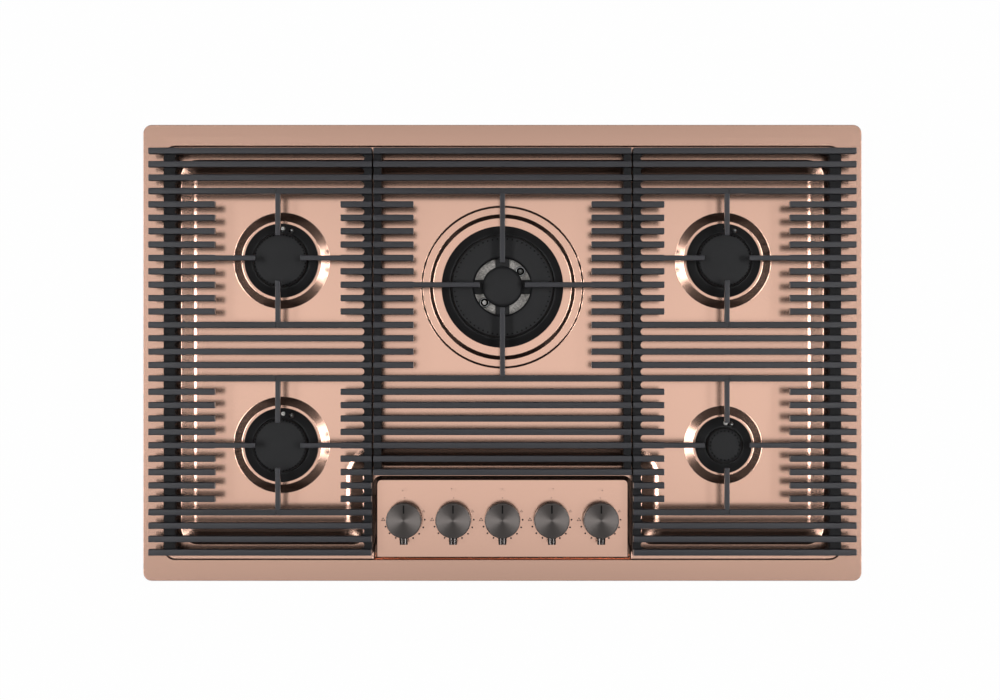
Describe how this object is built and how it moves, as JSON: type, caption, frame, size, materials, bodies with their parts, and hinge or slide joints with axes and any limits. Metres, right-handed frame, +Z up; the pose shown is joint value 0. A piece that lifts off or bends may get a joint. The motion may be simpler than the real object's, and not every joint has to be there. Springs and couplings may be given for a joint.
{
  "type": "gas cooktop",
  "caption": "Built-in gas cooktop: copper-toned pressed deck with a recessed well, corner burners, a centre triple-ring burner, comb-like cast pan supports and a row of push-and-turn knobs.",
  "frame": {"origin": "middle of the casing's underside, on the surface that the loose cooktop stands on; the worktop plane is 50 mm above it", "axes": "+Z up, +Y to the rear, +X to the right; knobs are at the front, on the -Y side"},
  "size_m": [0.86, 0.546, 0.085],
  "materials": {
    "deck_steel": "satin rose-copper coating on brushed stainless steel",
    "casing_steel": "galvanised sheet steel",
    "seal_foam": "closed-cell foam strip",
    "seal_rubber": "black silicone rubber",
    "support_iron": "matt black enamel on cast iron",
    "burner_enamel": "matt black enamel",
    "cup_aluminium": "die-cast, grainy",
    "knob_metal": "spun dark gunmetal",
    "tap_brass": "machined",
    "spindle_steel": "turned",
    "screw_steel": "zinc plated",
    "pipe_aluminium": "extruded",
    "pipe_steel": "plain drawn tube",
    "electrode_ceramic": "white unglazed ceramic",
    "module_plastic": "moulded"
  },
  "bodies": {
    "root": {"top_deck": "deck_steel", "bottom_casing": "casing_steel", "clamp_brackets": "casing_steel", "rim_gasket": "seal_foam", "knob_seals": "seal_rubber", "burner_cup_rear_left": "cup_aluminium", "burner_cup_front_left": "cup_aluminium", "burner_cup_centre": "cup_aluminium", "burner_cup_rear_right": "cup_aluminium", "burner_cup_front_right": "cup_aluminium", "tap_bodies": "tap_brass", "tap_bonnets": "tap_brass", "injectors": "tap_brass", "gas_inlet_elbow": "tap_brass", "burner_screws": "screw_steel", "clamp_screws": "screw_steel", "thermocouples": "screw_steel", "gas_rail": "pipe_aluminium", "burner_pipes": "pipe_aluminium", "feed_pipe": "pipe_steel", "spark_electrodes": "electrode_ceramic", "ignition_module": "module_plastic", "cable_gland": "module_plastic"},
    "support_left": {"pan_support_left": "support_iron", "support_pads_left": "seal_rubber"},
    "support_centre": {"pan_support_centre": "support_iron", "support_pads_centre": "seal_rubber"},
    "support_right": {"pan_support_right": "support_iron", "support_pads_right": "seal_rubber"},
    "head_rear_left": {"burner_head_rear_left": "burner_enamel"},
    "cap_rear_left": {"burner_cap_rear_left": "burner_enamel"},
    "head_front_left": {"burner_head_front_left": "burner_enamel"},
    "cap_front_left": {"burner_cap_front_left": "burner_enamel"},
    "head_centre": {"burner_head_centre": "burner_enamel"},
    "cap_centre": {"burner_cap_centre": "burner_enamel"},
    "head_rear_right": {"burner_head_rear_right": "burner_enamel"},
    "cap_rear_right": {"burner_cap_rear_right": "burner_enamel"},
    "head_front_right": {"burner_head_front_right": "burner_enamel"},
    "cap_front_right": {"burner_cap_front_right": "burner_enamel"},
    "ring_cap_centre": {"burner_ring_cap_centre": "burner_enamel"},
    "tap_1": {"tap_plug_1": "tap_brass"},
    "knob_1": {"knob_1": "knob_metal", "tap_spindle_1": "spindle_steel", "tap_spring_1": "spindle_steel"},
    "tap_2": {"tap_plug_2": "tap_brass"},
    "knob_2": {"knob_2": "knob_metal", "tap_spindle_2": "spindle_steel", "tap_spring_2": "spindle_steel"},
    "tap_3": {"tap_plug_3": "tap_brass"},
    "knob_3": {"knob_3": "knob_metal", "tap_spindle_3": "spindle_steel", "tap_spring_3": "spindle_steel"},
    "tap_4": {"tap_plug_4": "tap_brass"},
    "knob_4": {"knob_4": "knob_metal", "tap_spindle_4": "spindle_steel", "tap_spring_4": "spindle_steel"},
    "tap_5": {"tap_plug_5": "tap_brass"},
    "knob_5": {"knob_5": "knob_metal", "tap_spindle_5": "spindle_steel", "tap_spring_5": "spindle_steel"}
  },
  "joints": [
    {"name": "support_left_lift", "type": "slide", "parent": "root", "child": "support_left", "axis": [0, 0, 1], "range_m": [0, 0.15]},
    {"name": "support_centre_lift", "type": "slide", "parent": "root", "child": "support_centre", "axis": [0, 0, 1], "range_m": [0, 0.15]},
    {"name": "support_right_lift", "type": "slide", "parent": "root", "child": "support_right", "axis": [0, 0, 1], "range_m": [0, 0.15]},
    {"name": "head_rear_left_lift", "type": "slide", "parent": "root", "child": "head_rear_left", "axis": [0, 0, 1], "range_m": [0, 0.045]},
    {"name": "cap_rear_left_lift", "type": "slide", "parent": "head_rear_left", "child": "cap_rear_left", "axis": [0, 0, 1], "range_m": [0, 0.045]},
    {"name": "head_front_left_lift", "type": "slide", "parent": "root", "child": "head_front_left", "axis": [0, 0, 1], "range_m": [0, 0.045]},
    {"name": "cap_front_left_lift", "type": "slide", "parent": "head_front_left", "child": "cap_front_left", "axis": [0, 0, 1], "range_m": [0, 0.045]},
    {"name": "head_centre_lift", "type": "slide", "parent": "root", "child": "head_centre", "axis": [0, 0, 1], "range_m": [0, 0.045]},
    {"name": "cap_centre_lift", "type": "slide", "parent": "head_centre", "child": "cap_centre", "axis": [0, 0, 1], "range_m": [0, 0.045]},
    {"name": "head_rear_right_lift", "type": "slide", "parent": "root", "child": "head_rear_right", "axis": [0, 0, 1], "range_m": [0, 0.045]},
    {"name": "cap_rear_right_lift", "type": "slide", "parent": "head_rear_right", "child": "cap_rear_right", "axis": [0, 0, 1], "range_m": [0, 0.045]},
    {"name": "head_front_right_lift", "type": "slide", "parent": "root", "child": "head_front_right", "axis": [0, 0, 1], "range_m": [0, 0.045]},
    {"name": "cap_front_right_lift", "type": "slide", "parent": "head_front_right", "child": "cap_front_right", "axis": [0, 0, 1], "range_m": [0, 0.045]},
    {"name": "ring_cap_centre_lift", "type": "slide", "parent": "head_centre", "child": "ring_cap_centre", "axis": [0, 0, 1], "range_m": [0, 0.0225]},
    {"name": "knob_1_turn", "type": "hinge", "parent": "root", "child": "tap_1", "pos_m": [-0.1172, -0.199, 0.07], "axis": [0, 0, 1], "range_deg": [0, 210]},
    {"name": "knob_1_push", "type": "slide", "parent": "tap_1", "child": "knob_1", "axis": [0, 0, -1], "range_m": [0, 0.0035], "stiffness_N_per_m": 900, "springref_m": -0.004, "deforming": ["tap_spring_1"]},
    {"name": "knob_2_turn", "type": "hinge", "parent": "root", "child": "tap_2", "pos_m": [-0.0586, -0.199, 0.07], "axis": [0, 0, 1], "range_deg": [0, 210]},
    {"name": "knob_2_push", "type": "slide", "parent": "tap_2", "child": "knob_2", "axis": [0, 0, -1], "range_m": [0, 0.0035], "stiffness_N_per_m": 900, "springref_m": -0.004, "deforming": ["tap_spring_2"]},
    {"name": "knob_3_turn", "type": "hinge", "parent": "root", "child": "tap_3", "pos_m": [0, -0.199, 0.07], "axis": [0, 0, 1], "range_deg": [0, 210]},
    {"name": "knob_3_push", "type": "slide", "parent": "tap_3", "child": "knob_3", "axis": [0, 0, -1], "range_m": [0, 0.0035], "stiffness_N_per_m": 900, "springref_m": -0.004, "deforming": ["tap_spring_3"]},
    {"name": "knob_4_turn", "type": "hinge", "parent": "root", "child": "tap_4", "pos_m": [0.0586, -0.199, 0.07], "axis": [0, 0, 1], "range_deg": [0, 210]},
    {"name": "knob_4_push", "type": "slide", "parent": "tap_4", "child": "knob_4", "axis": [0, 0, -1], "range_m": [0, 0.0035], "stiffness_N_per_m": 900, "springref_m": -0.004, "deforming": ["tap_spring_4"]},
    {"name": "knob_5_turn", "type": "hinge", "parent": "root", "child": "tap_5", "pos_m": [0.1172, -0.199, 0.07], "axis": [0, 0, 1], "range_deg": [0, 210]},
    {"name": "knob_5_push", "type": "slide", "parent": "tap_5", "child": "knob_5", "axis": [0, 0, -1], "range_m": [0, 0.0035], "stiffness_N_per_m": 900, "springref_m": -0.004, "deforming": ["tap_spring_5"]}
  ],
  "couplings": [
    {"joint": "head_rear_left_lift", "follows": "support_left_lift", "ratio": 0.3},
    {"joint": "cap_rear_left_lift", "follows": "support_left_lift", "ratio": 0.3},
    {"joint": "head_front_left_lift", "follows": "support_left_lift", "ratio": 0.3},
    {"joint": "cap_front_left_lift", "follows": "support_left_lift", "ratio": 0.3},
    {"joint": "head_centre_lift", "follows": "support_centre_lift", "ratio": 0.3},
    {"joint": "cap_centre_lift", "follows": "support_centre_lift", "ratio": 0.3},
    {"joint": "head_rear_right_lift", "follows": "support_right_lift", "ratio": 0.3},
    {"joint": "cap_rear_right_lift", "follows": "support_right_lift", "ratio": 0.3},
    {"joint": "head_front_right_lift", "follows": "support_right_lift", "ratio": 0.3},
    {"joint": "cap_front_right_lift", "follows": "support_right_lift", "ratio": 0.3},
    {"joint": "ring_cap_centre_lift", "follows": "support_centre_lift", "ratio": 0.15}
  ]
}
